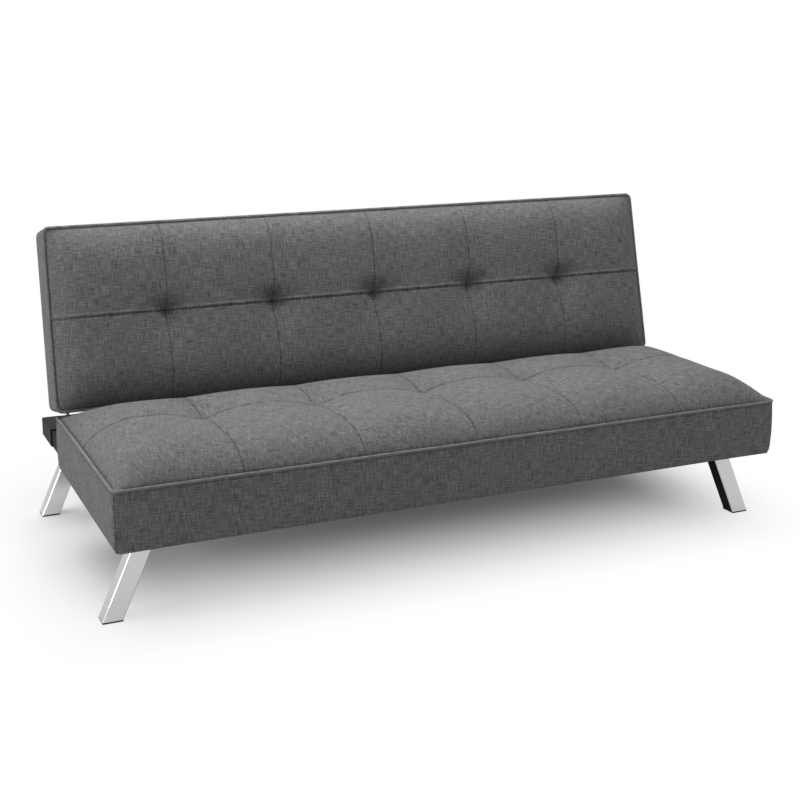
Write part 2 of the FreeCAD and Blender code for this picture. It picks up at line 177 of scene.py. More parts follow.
# %% [markdown]
# ## Marking cloth
# The weave has to run with the cloth, so each soft piece gets a UV map in metres. A second layer, a
# number at every point, says how near the point is to a sewn line. The material darkens the cloth there.

# %% Cloth coordinates and seam marks
def lay_cloth(obj, to_uv, to_seam):
    """Write the UV map in metres and the seam mark, from the piece's own space."""
    mesh = obj.data
    while mesh.uv_layers:
        mesh.uv_layers.remove(mesh.uv_layers[0])
    layer = mesh.uv_layers.new(name="cloth")
    for polygon in mesh.polygons:
        for loop in polygon.loop_indices:
            point = mesh.vertices[mesh.loops[loop].vertex_index].co
            layer.data[loop].uv = to_uv(point, polygon.normal)
    marks = mesh.attributes.new("seam", "FLOAT", "POINT")
    for vertex in mesh.vertices:
        marks.data[vertex.index].value = to_seam(vertex.co)


def face_uv(point, normal):
    """Lay cloth flat on whichever way a face looks."""
    across = max(range(3), key=lambda axis: abs(normal[axis]))
    if across == 0:
        return (point[1], point[2])
    if across == 1:
        return (point[0], point[2])
    return (point[0], point[1])


def unsewn(point):
    """The seam mark of a piece without stitches."""
    return 0.0


print("a face that looks up takes its weave from", face_uv(("x", "y", "z"), (0, 0, 1)))

# %% [markdown]
# ## Node helpers
# Materials are node trees. These helpers add a node, set or link its inputs, and hand back the socket to
# go on from, so that each line of a material below reads as one step.

# %% Node helpers
def new_group(name, inputs, outputs):
    group = bpy.data.node_groups.new(name, "ShaderNodeTree")
    for label, kind, value in inputs:
        socket = group.interface.new_socket(label, in_out="INPUT", socket_type=kind)
        if value is not None:
            socket.default_value = value
    for label, kind in outputs:
        group.interface.new_socket(label, in_out="OUTPUT", socket_type=kind)
    return group, group.nodes.new("NodeGroupInput"), group.nodes.new("NodeGroupOutput")


def add_node(tree, kind, links=(), **settings):
    """Add a node with its settings; each input gets a value or a link from a socket."""
    node = tree.nodes.new(kind)
    for label, value in settings.items():
        setattr(node, label, value)
    for label, source in links:
        socket = node.inputs[label]
        if hasattr(source, "is_output"):
            tree.links.new(source, socket)
        else:
            socket.default_value = source
    return node


def calculate(tree, operation, first, second, clamp=False):
    node = add_node(tree, "ShaderNodeMath", [(0, first), (1, second)], operation=operation, use_clamp=clamp)
    return node.outputs[0]


def rescale(tree, value, new_range, old_range=(0.0, 1.0), interpolation="LINEAR"):
    links = [("Value", value), ("From Min", old_range[0]), ("From Max", old_range[1]),
             ("To Min", new_range[0]), ("To Max", new_range[1])]
    return add_node(tree, "ShaderNodeMapRange", links, interpolation_type=interpolation).outputs[0]


def scale_colour(tree, colour, factor):
    node = add_node(tree, "ShaderNodeVectorMath", [(0, colour), ("Scale", factor)], operation="SCALE")
    return node.outputs[0]


def send_out(tree, end, **sockets):
    for label, socket in sockets.items():
        tree.links.new(socket, end.inputs[label])


SURFACE_OUTPUTS = [("Color", "NodeSocketColor"), ("Height", "NodeSocketFloat"),
                   ("Roughness", "NodeSocketFloat")]
print("every group gives", [label for label, kind in SURFACE_OUTPUTS])

# %% [markdown]
# ## The melange weave
# The cloth is a plain weave of light and dark grey yarns. From a step away it reads as short light and
# dark dashes along the two thread directions. Two noise textures, each stretched along one thread, make
# the dashes, and a slow cloud keeps large panels from looking flat. A noise scale counts cells per metre.

# %% Yarn tones
YARN_ALONG = 36
YARN_ACROSS = 480
DASH_RANGE = (0.6, 1.4)
CLOUD_SCALE = 9.0
CLOUD_RANGE = (-0.07, 0.07)


def yarn_dashes(tree, place):
    """0 to 1 from dark to light yarn, before the cloud."""
    dashes = []
    for stretch in ((YARN_ALONG, YARN_ACROSS, 1), (YARN_ACROSS, YARN_ALONG, 1)):
        turned = add_node(tree, "ShaderNodeMapping", [("Vector", place), ("Scale", stretch)])
        grain = add_node(tree, "ShaderNodeTexNoise", [("Vector", turned.outputs[0]), ("Scale", 1.0),
                                                      ("Detail", 1.0), ("Roughness", 0.5)])
        dashes.append(grain.outputs["Fac"])
    return rescale(tree, calculate(tree, "ADD", dashes[0], dashes[1]), (0.0, 1.0), DASH_RANGE)


def clouded(tree, place, dashes):
    cloud = add_node(tree, "ShaderNodeTexNoise", [("Vector", place), ("Scale", CLOUD_SCALE), ("Detail", 2.0)])
    return calculate(tree, "ADD", dashes, rescale(tree, cloud.outputs["Fac"], CLOUD_RANGE), clamp=True)


def mix_yarns(tree, tone, dark, light):
    node = add_node(tree, "ShaderNodeMix", [("Factor", tone)], data_type="RGBA")
    for label, source in (("A", dark), ("B", light)):
        socket = [entry for entry in node.inputs if entry.name == label and entry.type == "RGBA"][0]
        tree.links.new(source, socket)
    return [entry for entry in node.outputs if entry.type == "RGBA"][0]


print("a dash is about", round(1000 / YARN_ALONG), "mm long and", round(1000 / YARN_ACROSS, 1), "mm wide")

# %% [markdown]
# Two wave textures make the threads that give the bump. A wave repeats about three times for each unit of
# its scale, so the threads are fine. Along a seam the colour is darkened, more and less by turns, as
# stitches do. The group is built once, and covers and piping both use it, each with its own yarns.

# %% Weave group
THREAD_SCALE = 210.0
THREAD_WANDER = 1.2
STITCH_SCALE = 32.0
STITCH_PULL = (0.55, 1.0)
SEAM_SHADE = (1.0, 0.3)
CLOTH_ROUGHNESS = (0.95, 0.82)


def thread_height(tree, place, dashes):
    threads = []
    for direction in ("X", "Y"):
        wave = add_node(tree, "ShaderNodeTexWave", [("Vector", place), ("Scale", THREAD_SCALE),
                                                    ("Distortion", THREAD_WANDER)], bands_direction=direction)
        threads.append(wave.outputs["Fac"])
    return calculate(tree, "ADD", calculate(tree, "MAXIMUM", threads[0], threads[1]), dashes)


def weave_group():
    tree, start, end = new_group(
        "melange weave",
        [("Vector", "NodeSocketVector", None), ("Dark Yarn", "NodeSocketColor", (0.03, 0.03, 0.03, 1)),
         ("Light Yarn", "NodeSocketColor", (0.2, 0.2, 0.2, 1)), ("Seam", "NodeSocketFloat", 0.0)],
        SURFACE_OUTPUTS)
    place = start.outputs["Vector"]
    dashes = yarn_dashes(tree, place)
    tone = clouded(tree, place, dashes)
    colour = mix_yarns(tree, tone, start.outputs["Dark Yarn"], start.outputs["Light Yarn"])
    stitch = add_node(tree, "ShaderNodeTexWave", [("Vector", place), ("Scale", STITCH_SCALE)],
                      bands_direction="DIAGONAL")
    pull = rescale(tree, stitch.outputs["Fac"], STITCH_PULL)
    shade = rescale(tree, calculate(tree, "MULTIPLY", start.outputs["Seam"], pull), SEAM_SHADE)
    send_out(tree, end, Color=scale_colour(tree, colour, shade), Height=thread_height(tree, place, dashes),
             Roughness=rescale(tree, tone, CLOTH_ROUGHNESS))
    return tree


WEAVE = weave_group()
print("weave nodes:", len(WEAVE.nodes))

# %% [markdown]
# ## Hard finishes share their wear
# Powder coat, moulded plastic, zinc and chrome all have a fine grain and a few smudges. One group makes
# them from noise on object coordinates, and each finish asks for more or less.

# %% Surface group
SMUDGE_SCALE = 14.0


def surface_group():
    tree, start, end = new_group(
        "fine surface",
        [("Color", "NodeSocketColor", (0.1, 0.1, 0.1, 1)), ("Grain Size", "NodeSocketFloat", 400.0),
         ("Smudge", "NodeSocketFloat", 0.1), ("Roughness", "NodeSocketFloat", 0.4)],
        SURFACE_OUTPUTS)
    place = add_node(tree, "ShaderNodeTexCoord").outputs["Object"]
    grain = add_node(tree, "ShaderNodeTexNoise", [("Vector", place), ("Scale", start.outputs["Grain Size"]),
                                                  ("Detail", 2.0)])
    smudge = add_node(tree, "ShaderNodeTexNoise", [("Vector", place), ("Scale", SMUDGE_SCALE),
                                                   ("Detail", 4.0)])
    swing = calculate(tree, "SUBTRACT", smudge.outputs["Fac"], 0.5)
    amount = calculate(tree, "MULTIPLY", swing, start.outputs["Smudge"])
    factor = calculate(tree, "ADD", amount, 1.0)
    send_out(tree, end, Color=scale_colour(tree, start.outputs["Color"], factor), Height=grain.outputs["Fac"],
             Roughness=calculate(tree, "ADD", amount, start.outputs["Roughness"], clamp=True))
    return tree


SURFACE = surface_group()
print("surface nodes:", len(SURFACE.nodes))

# %% [markdown]
# ## Materials
# A material is a Principled shader fed by one of the groups, with a bump from the group's height. Sheen
# and shine are set on the shader itself and kept low, because they would wash out the dark yarns.

# %% Material makers
CLOTH_RELIEF = 0.6 * MM
SURFACE_RELIEF = 0.3 * MM
CLOTH_SHINE = 0.06
CLOTH_SHEEN = 0.03
DULL_SHINE = 0.02


def principled(name):
    material = bpy.data.materials.new(name)
    material.use_nodes = True
    tree = material.node_tree
    return material, tree, tree.nodes["Principled BSDF"]


def plug_group(tree, shader, group, bump, relief, **values):
    node = tree.nodes.new("ShaderNodeGroup")
    node.node_tree = group
    for label, value in values.items():
        node.inputs[label.replace("_", " ")].default_value = value
    lift = add_node(tree, "ShaderNodeBump", [("Height", node.outputs["Height"]), ("Strength", bump),
                                             ("Distance", relief)])
    tree.links.new(node.outputs["Color"], shader.inputs["Base Color"])
    tree.links.new(node.outputs["Roughness"], shader.inputs["Roughness"])
    tree.links.new(lift.outputs[0], shader.inputs["Normal"])
    return node


def cloth_material(name, dark, light, bump):
    material, tree, shader = principled(name)
    node = plug_group(tree, shader, WEAVE, bump, CLOTH_RELIEF, Dark_Yarn=(*dark, 1), Light_Yarn=(*light, 1))
    place = add_node(tree, "ShaderNodeUVMap", uv_map="cloth")
    seam = add_node(tree, "ShaderNodeAttribute", attribute_name="seam")
    tree.links.new(place.outputs[0], node.inputs["Vector"])
    tree.links.new(seam.outputs["Fac"], node.inputs["Seam"])
    shader.inputs["Specular IOR Level"].default_value = CLOTH_SHINE
    shader.inputs["Sheen Weight"].default_value = CLOTH_SHEEN
    shader.inputs["Sheen Roughness"].default_value = 0.5
    return material


def hard_material(name, colour, roughness, metallic=0.0, bump=0.1, grain=400.0, smudge=0.1):
    material, tree, shader = principled(name)
    plug_group(tree, shader, SURFACE, bump, SURFACE_RELIEF, Color=(*colour, 1), Roughness=roughness,
               Grain_Size=grain, Smudge=smudge)
    shader.inputs["Metallic"].default_value = metallic
    shader.inputs["Specular IOR Level"].default_value = 0.5 if metallic else DULL_SHINE
    return material


print("groups to plug in:", [group.name for group in bpy.data.node_groups])

# %% [markdown]
# The black parts are nearly without shine, since the photo shows them as plain black. The chrome is a
# little darker than a perfect mirror.

# %% Materials
COVER = cloth_material("grey_melange_cloth", (0.034, 0.034, 0.0355), (0.162, 0.163, 0.167), bump=0.35)
# The piping is the cover's cloth with lighter yarns: painted light that lifts the cord out of the shade it
# sits in.
PIPING_PAINTED_LIGHTER = cloth_material("piping_cloth_painted_lighter", (0.05, 0.05, 0.052), (0.195, 0.196, 0.2), bump=0.3)
CHROME = hard_material("mirror_chrome", (0.8, 0.805, 0.815), roughness=0.06, metallic=1.0, bump=0.015,
                       grain=90.0, smudge=0.05)
BLACK_STEEL = hard_material("black_powder_coat", (0.006, 0.006, 0.0065), roughness=0.42, bump=0.12,
                            grain=900.0)
BLACK_PLASTIC = hard_material("moulded_black", (0.006, 0.006, 0.0065), roughness=0.36,
                              grain=700.0, smudge=0.12)
ZINC = hard_material("zinc_plate", (0.56, 0.56, 0.53), roughness=0.34, metallic=1.0, bump=0.05,
                     grain=300.0, smudge=0.15)
DUST_CLOTH = hard_material("black_nonwoven", (0.014, 0.014, 0.015), roughness=0.9, bump=0.6,
                           grain=1400.0, smudge=0.2)
STRAP = hard_material("elastic_webbing", (0.05, 0.05, 0.052), roughness=0.85, bump=0.6,
                      grain=1000.0, smudge=0.2)
print("materials:", len(bpy.data.materials))

# %% [markdown]
# ## A sewn cushion
# On the real sofa one sheet of cloth is stitched to the foam along a grid of seams and pulled down where
# the seams cross. So a cushion starts as a flat grid with its lines crowded towards the seams. These
# functions measure how far a point is from the seams and the rim.

# %% Panels and seams
COLUMNS = 6
ROWS = 2
STEPS = 24
CROWDING = 0.72


def crowd(share):
    """Move a place on the grid towards the nearest seam."""
    return share - CROWDING / (2 * math.pi) * math.sin(2 * math.pi * share)


def panel_place(value, span, count):
    """Position inside one panel, 0 to 1, and the distance to the nearest inner seam."""
    share = min(max(value / span, 0.0), 1.0) * count
    seams = [span * number / count for number in range(1, count)]
    return share % 1.0, min(abs(value - seam) for seam in seams)


def seam_distance(x, y, form):
    to_upright = panel_place(x, form["width"], COLUMNS)[1]
    to_level = panel_place(y, form["depth"], ROWS)[1]
    return min(to_upright, to_level)


def rim_distance(x, y, form):
    return min(x, form["width"] - x, y, form["depth"] - y)


print("grid lines:", COLUMNS * STEPS, "by", ROWS * STEPS)

# %% [markdown]
# A formula lifts the grid to the crown. The cover rises in a rounded roll from the rim, swells between the
# seams, and sinks into a point and a wider bowl at each tuft. The bowl's upper slope may be steeper than
# its lower one: on the back that slope looks down and makes the dark spot above each tuft.

# %% Cushion heights
ROLL_POWER = 2.4


def smooth_share(share):
    """0 to 1 with a gentle start and end."""
    share = min(max(share, 0.0), 1.0)
    return share * share * (3 - 2 * share)


def ease(distance, reach, steepness):
    """Rounded rise from an edge, done at the given reach; a low steepness starts upright."""
    left = 1 - min(max(distance / reach, 0.0), 1.0)
    return max(1 - left ** ROLL_POWER, 0.0) ** steepness


def liveliness(y, form):
    """1 where the panels are free to swell, falling to 0 at the edge that the back stands over."""
    return smooth_share((form["calm_end"] - y) / form["calm_span"])


def cushion_height(x, y, form):
    """Height of the cover over a point, measured from the front left corner."""
    width, depth, roll, steep = form["width"], form["depth"], form["roll"], form["steepness"]
    across, to_upright = panel_place(x, width, COLUMNS)
    along, to_level = panel_place(y, depth, ROWS)
    rise = min(ease(x, roll, steep), ease(width - x, roll, steep))
    rise *= min(ease(y, roll, steep), ease(depth - y, form["roll_top"], steep))
    swell = max(math.sin(math.pi * across) * math.sin(math.pi * along), 0.0) ** form["fullness"]
    scallop = math.sin(math.pi * across) * math.exp(-(to_level / form["scallop_reach"]) ** 2)
    fill = (form["puff"] * swell + form["scallop"] * scallop) * liveliness(y, form)
    point = form["tuft"] * math.exp(-math.hypot(to_upright, to_level) / form["tuft_reach"])
    slope_reach = form["bowl_up"] if y > depth / 2 else form["bowl_down"]
    bowl = form["bowl"] * math.exp(-(to_upright / form["bowl_reach"]) ** 2 - (to_level / slope_reach) ** 2)
    return rise * (form["seam"] + fill) - (point + bowl) * rise


print("half way along a plain roll the cover has risen to", round(ease(0.5, 1.0, 1.0), 2))

# %% [markdown]
# A short cloth run with air pressure then fills the panels, while the rim and the seams stay pinned. The
# run is what makes the panels plump rather than domed. A cap keeps them within a few millimetres of the
# formula, so the result is the same plump shape each time.

# %% Cushion cloth run
RUN_FRAMES = 16


def fill_with_air(obj, pressure):
    cloth = obj.modifiers.new("filling", "CLOTH")
    cloth.settings.vertex_group_mass = "sewn"
    cloth.settings.quality = 5
    cloth.settings.mass = 0.3
    cloth.settings.use_pressure = True
    cloth.settings.uniform_pressure_force = pressure
    cloth.settings.tension_stiffness = 25
    cloth.settings.compression_stiffness = 12
    cloth.settings.bending_stiffness = 0.6
    cloth.settings.effector_weights.gravity = 0
    cloth.collision_settings.use_collision = False
    for number in range(1, RUN_FRAMES + 1):
        bpy.context.scene.frame_set(number)
    bpy.ops.object.modifier_apply(modifier=cloth.name)
    bpy.context.scene.frame_set(1)


def inflate(obj, pinned, form):
    """Fill the sheet with air while the pinned points stay."""
    start = [vertex.co.copy() for vertex in obj.data.vertices]
    group = obj.vertex_groups.new(name="sewn")
    group.add(pinned, 1.0, "REPLACE")
    pick(obj)
    fill_with_air(obj, form["pressure"])
    moved = 0.0
    for vertex, old in zip(obj.data.vertices, start):
        shift = vertex.co - old
        moved = max(moved, shift.length)
        cap = form["cap"] * liveliness(old.y, form)
        if shift.length > cap:
            vertex.co = old + shift * (cap / shift.length)
    obj.vertex_groups.clear()
    print(obj.name, "filled, largest move", round(moved, 4))


print("cloth run:", RUN_FRAMES, "frames")

# %% [markdown]
# After the run the sheet is smoothed once and the stitch lines are pressed in. The groove is narrow, so it
# comes last, when the mesh is fine enough to hold it. Then the rim is pulled down and closed below.

# %% Pressing seams and closing
FOLD = 5 * MM
FOLD_REACH = 2.8 * MM
RIPPLE_PITCH = 9
RIPPLE_LAYER = 3.0
CREASE_BLEND = 5 * MM


def soft_floor(first, second):
    """The lower of two heights, without a crease where they meet."""
    return -CREASE_BLEND * math.log(math.exp(-first / CREASE_BLEND) + math.exp(-second / CREASE_BLEND))


def press_seams(obj, form, ceiling):
    """Press the stitch lines in, raise a fold beside the level seam, and keep below the ceiling."""
    for vertex in obj.data.vertices:
        x, y, z = vertex.co
        groove = math.exp(-(seam_distance(x, y, form) / form["groove_reach"]) ** 2)
        ripple = noise.noise(Vector((x * RIPPLE_PITCH, y * RIPPLE_PITCH, RIPPLE_LAYER))) * form["ripple"]
        fold = math.exp(-((y - form["depth"] / 2 - FOLD) / FOLD_REACH) ** 2)
        z += ripple - form["groove"] * groove + form["ridge"] * fold
        vertex.co.z = soft_floor(z, ceiling(y)) if ceiling else z


def close_below(obj, skirt):
    """Pull the rim of the sheet down and close it with one flat face."""
    pick(obj)
    bpy.ops.object.mode_set(mode="EDIT")
    bpy.ops.mesh.select_mode(type="EDGE")
    bpy.ops.mesh.select_all(action="DESELECT")
    bpy.ops.mesh.select_non_manifold()
    bpy.ops.mesh.extrude_region_move(TRANSFORM_OT_translate={"value": (0, 0, -skirt)})
    bpy.ops.mesh.edge_face_add()
    bpy.ops.mesh.select_all(action="SELECT")
    bpy.ops.mesh.normals_make_consistent(inside=False)
    bpy.ops.object.mode_set(mode="OBJECT")


print("two level sheets 10 mm up meet at", round(soft_floor(10 * MM, 10 * MM) / MM, 1), "mm")

# %% [markdown]
# The whole cushion is these steps in order. Near the rims the weave's coordinates also count the way down,
# so that it doesn't stretch over the roll; elsewhere height is left out, or the weave would swirl round
# the tufts.

# %% Sewing a cushion
EDGE_INSET = 5 * MM
RIM_PIN = 2 * MM
SEAM_PIN = 0.5 * MM
RIM_MARK = 3 * MM


def raised_sheet(name, form):
    """A grid lifted to the formula, and the points that stitches hold."""
    bpy.ops.object.select_all(action="DESELECT")
    bpy.ops.mesh.primitive_grid_add(x_subdivisions=COLUMNS * STEPS, y_subdivisions=ROWS * STEPS, size=1)
    obj = bpy.context.object
    obj.name = name
    pinned = []
    for vertex in obj.data.vertices:
        column = (vertex.co.x + 0.5) * COLUMNS
        row = (vertex.co.y + 0.5) * ROWS
        x = form["width"] * (math.floor(column) + crowd(column % 1.0)) / COLUMNS
        y = form["depth"] * (math.floor(row) + crowd(row % 1.0)) / ROWS
        vertex.co = (x, y, cushion_height(x, y, form))
        if rim_distance(x, y, form) < RIM_PIN or seam_distance(x, y, form) < SEAM_PIN:
            pinned.append(vertex.index)
    return obj, pinned


def mark_cushion(obj, form):
    width, depth, roll, roll_top = form["width"], form["depth"], form["roll"], form["roll_top"]

    def along_cloth(point, normal):
        x, y, z = point
        drop = max(form["seam"] - z, 0.0)
        u = x - drop * smooth_share(1 - x / roll) + drop * smooth_share(1 - (width - x) / roll)
        v = y - drop * smooth_share(1 - y / roll) + drop * smooth_share(1 - (depth - y) / roll_top)
        return (u, v)

    def seam_mark(point):
        x, y, z = point
        rim = max(rim_distance(x, y, form), 0.0)
        nearest = min(seam_distance(x, y, form) / form["line"], rim / RIM_MARK)
        return math.exp(-nearest ** 2) if z > -form["skirt"] / 2 else 0.0

    lay_cloth(obj, along_cloth, seam_mark)


def sewn_cushion(name, form, ceiling=None):
    obj, pinned = raised_sheet(name, form)
    inflate(obj, pinned, form)
    subdivide(obj, 1)
    press_seams(obj, form, ceiling)
    close_below(obj, form["skirt"])
    mark_cushion(obj, form)
    obj.data.transform(Matrix.Translation((-form["width"] / 2, EDGE_INSET, 0)))
    pick(obj)
    bpy.ops.object.shade_smooth()
    dress(obj, COVER)
    print(name, "points", len(obj.data.vertices))
    return obj


print("a cushion lies", EDGE_INSET / MM, "mm inside its piping")

# %% [markdown]
# ## Seat cushion
# The seat is soft and full: the level seam rises between the tufts in scallops, and the tufts are shallow
# dimples. At the rear it flattens, because the back stands over it. Sculpting by hand could give this look
# too, but named sizes can be read, changed, and used again for the back.

# %% Seat cushion
SEAT_FORM = dict(
    width=SEAT_WIDTH - 2 * EDGE_INSET, depth=SEAT_DEPTH - 2 * EDGE_INSET, skirt=60 * MM,
    roll=125 * MM, roll_top=100 * MM, steepness=0.68,
    calm_end=SEAT_DEPTH - 50 * MM, calm_span=190 * MM,
    seam=54 * MM, puff=11 * MM, fullness=0.75, scallop=7 * MM, scallop_reach=70 * MM,
    tuft=6 * MM, tuft_reach=14 * MM,
    bowl=12 * MM, bowl_reach=55 * MM, bowl_up=55 * MM, bowl_down=55 * MM,
    pressure=4.0, cap=9 * MM,
    groove=2.4 * MM, groove_reach=3.5 * MM, line=1.4 * MM, ridge=0.6 * MM, ripple=1.4 * MM)
SHELF_LEAD = 22 * MM
SHELF_START = SEAT_DEPTH - BACK_OVERLAP - SHELF_LEAD
SHELF_HEIGHT = 8 * MM
SHELF_SLOPE = 0.5


def under_back(y):
    """Ceiling over the rear strip, so that the back can stand over it."""
    return SHELF_HEIGHT + max(SHELF_START - y, 0.0) * SHELF_SLOPE


seat_cushion = sewn_cushion("seat_cushion", SEAT_FORM, under_back)
lay_seat(seat_cushion)
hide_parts("seat_pad")
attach(seat_cushion, "base")

# %% [markdown]
# ## Back cushion
# The back is firmer and flatter than the seat, with crisp seams, and its tufts are pulled in hard. The same
# function sews it from other sizes, and its matrix then leans it.

# %% Back cushion
BACK_FORM = dict(
    width=SEAT_WIDTH - 2 * EDGE_INSET, depth=BACK_HEIGHT - 2 * EDGE_INSET, skirt=50 * MM,
    roll=95 * MM, roll_top=85 * MM, steepness=0.85,
    calm_end=2 * BACK_HEIGHT, calm_span=BACK_HEIGHT / 2,
    seam=40 * MM, puff=5 * MM, fullness=1.0, scallop=1 * MM, scallop_reach=40 * MM,
    tuft=17 * MM, tuft_reach=11 * MM,
    bowl=26 * MM, bowl_reach=44 * MM, bowl_up=27 * MM, bowl_down=62 * MM,
    pressure=2.0, cap=3 * MM,
    groove=1.5 * MM, groove_reach=2.4 * MM, line=1.2 * MM, ridge=2.6 * MM, ripple=1.2 * MM)
back_cushion = sewn_cushion("back_cushion", BACK_FORM)
stand_back(back_cushion)
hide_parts("back_pad")
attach(back_cushion, "backrest")

# %% [markdown]
# ## Cloth bands
# A band of cloth runs round each cushion, sewn at the corners. Four flat walls would meet in hard edges, so
# it starts as one box without lid or floor, whose upright edges are rounded. The same rounding serves the
# rear panel and the legs.

# %% Open box and round corners
CORNER = 14 * MM
FACES_UP = 0.9
UPRIGHT_LEAST = 1e-4


def open_box(name, size, centre):
    obj = add_cube(name, size, centre)
    bpy.ops.object.mode_set(mode="EDIT")
    bpy.ops.mesh.select_all(action="DESELECT")
    bpy.ops.object.mode_set(mode="OBJECT")
    for polygon in obj.data.polygons:
        polygon.select = abs(polygon.normal.z) > FACES_UP
    bpy.ops.object.mode_set(mode="EDIT")
    bpy.ops.mesh.select_mode(type="FACE")
    bpy.ops.mesh.delete(type="ONLY_FACE")
    bpy.ops.object.mode_set(mode="OBJECT")
    return obj


def round_uprights(obj, radius):
    """Round the edges that run along Z."""
    pick(obj)
    bpy.ops.object.mode_set(mode="EDIT")
    bpy.ops.mesh.select_mode(type="EDGE")
    bpy.ops.mesh.select_all(action="DESELECT")
    bpy.ops.object.mode_set(mode="OBJECT")
    for edge in obj.data.edges:
        ends = [obj.data.vertices[index].co for index in edge.vertices]
        edge.select = abs(ends[0].z - ends[1].z) > UPRIGHT_LEAST
    bpy.ops.object.mode_set(mode="EDIT")
    bpy.ops.mesh.bevel(offset=radius, segments=4, profile=0.5)
    bpy.ops.object.mode_set(mode="OBJECT")


print("cloth corners have a radius of", CORNER / MM, "mm")

# %% [markdown]
# The band's walls swell a little, wander as cloth does, and turn in at the lower rim. Solidify gives it a
# wall. Its seam marks are the four corners and the line under the piping.

# %% Band
BAND_WALL = 5 * MM
WANDER = 0.8 * MM
WANDER_PITCH = 7.0
LIP_SHARE = 0.12
CORNER_SEAM = 0.3 * CORNER
CORNER_MARK = 3 * MM


def swell_walls(obj, width, depth, low, high, swell, turn_in):
    for vertex in obj.data.vertices:
        x, y, z = vertex.co
        share = (z - low) / (high - low)
        near_side = width / 2 - abs(x) < CORNER
        near_end = min(y, depth - y) < CORNER
        away = Vector((x if near_side else 0, y - depth / 2 if near_end else 0, 0))
        away.normalize()
        wander = noise.noise(vertex.co * WANDER_PITCH) * WANDER
        lip = turn_in * max(1 - share / LIP_SHARE, 0.0) ** 2
        vertex.co += away * ((swell + wander) * math.sin(math.pi * share) - lip)


def cloth_band(name, width, depth, low, high, swell, turn_in):
    """A band round a rectangle from y = 0 to depth, between two heights."""
    obj = open_box(name, (width, depth, high - low), (0, depth / 2, (low + high) / 2))
    round_uprights(obj, CORNER)
    subdivide(obj, 4, "SIMPLE")
    swell_walls(obj, width, depth, low, high, swell, turn_in)
    wall = obj.modifiers.new("wall", "SOLIDIFY")
    wall.thickness = BAND_WALL
    wall.offset = -1
    apply_all(obj)
    seam_x = width / 2 - CORNER_SEAM
    seams = [(x, y) for x in (-seam_x, seam_x) for y in (CORNER_SEAM, depth - CORNER_SEAM)]

    def band_mark(point):
        corner_seam = min(math.hypot(point[0] - x, point[1] - y) for x, y in seams) / CORNER_MARK
        return math.exp(-min(corner_seam, (high - point[2]) / RIM_MARK) ** 2)

    lay_cloth(obj, face_uv, band_mark)
    smooth_by_angle(obj, degrees=50)
    dress(obj, COVER)
    print(name, "points", len(obj.data.vertices))
    return obj


print("band wall", BAND_WALL / MM, "mm")

# %% [markdown]
# The seat's band hangs a hem below the solid borders, as far down as the photo shows the cloth. The back's
# band stops at the rear panel. Both keep a little inside the piping, which covers their upper edge.

# %% Seat and back bands
BAND_INSET = 1.5 * MM
BAND_TOP = -0.3 * PIPING_RADIUS
HEM = 7 * MM
band_width = SEAT_WIDTH - 2 * BAND_INSET
step_in = Matrix.Translation((0, BAND_INSET, 0))
seat_band = cloth_band("seat_band", band_width, SEAT_DEPTH - 2 * BAND_INSET, SEAT_BOTTOM - SEAT_EDGE - HEM,
                       BAND_TOP, swell=2.5 * MM, turn_in=4 * MM)
seat_band.data.transform(step_in)
lay_seat(seat_band)
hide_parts("seat_border_front", "seat_border_rear", "seat_border_left", "seat_border_right")
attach(seat_band, "base")

back_band = cloth_band("back_band", band_width, BACK_HEIGHT - 2 * BAND_INSET, PANEL_WALL - BACK_DEPTH,
                       BAND_TOP, swell=1.5 * MM, turn_in=5 * MM)
back_band.data.transform(step_in)
stand_back(back_band)
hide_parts("back_border_top", "back_border_bottom", "back_border_left", "back_border_right")
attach(back_band, "backrest")

# %% [markdown]
# ## Rear panel
# The rear of the back is one sheet of the same cloth, stretched over the frame. A plane would end in a bare
# edge, so it is a thin slab with a rounded rim. It is drawn in a little at the middle, between the tubes
# that it is stretched over.

# %% Rear panel
PANEL_INSET = 3 * MM
PANEL_SINK = 2.5 * MM
PANEL_RIM = 1.4 * MM


def soften_rim(obj, width, degrees=None):
    rim = obj.modifiers.new("rim", "BEVEL")
    rim.width = width
    rim.segments = 3
    if degrees:
        rim.limit_method = "ANGLE"
        rim.angle_limit = math.radians(degrees)
    apply_all(obj)


panel_size = (SEAT_WIDTH - 2 * PANEL_INSET, BACK_HEIGHT - 2 * PANEL_INSET, PANEL_WALL)
rear_panel = add_cube("rear_panel", panel_size, (0, BACK_HEIGHT / 2, -BACK_DEPTH + PANEL_WALL / 2))
round_uprights(rear_panel, CORNER)
soften_rim(rear_panel, PANEL_RIM, degrees=40)
subdivide(rear_panel, 3, "SIMPLE")
for vertex in rear_panel.data.vertices:
    x_share = vertex.co.x / SEAT_WIDTH + 0.5
    y_share = vertex.co.y / BACK_HEIGHT
    vertex.co.z += PANEL_SINK * math.sin(math.pi * x_share) * math.sin(math.pi * y_share)
lay_cloth(rear_panel, face_uv, unsewn)
smooth_by_angle(rear_panel)
dress(rear_panel, COVER)
stand_back(rear_panel)
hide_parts("back_panel")
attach(rear_panel, "backrest")
print("rear panel points", len(rear_panel.data.vertices))

# %% [markdown]
# ## Piping
# A cord in a bias strip of the same cloth is sewn in where cushion and band meet. Its path is a rectangle
# with round corners, cut into short steps so that it can wander a little and bend with the cover.

# %% Piping path
PROUD = 1 * MM
CORNER_STEPS = 8
CORD_STEP = 20 * MM


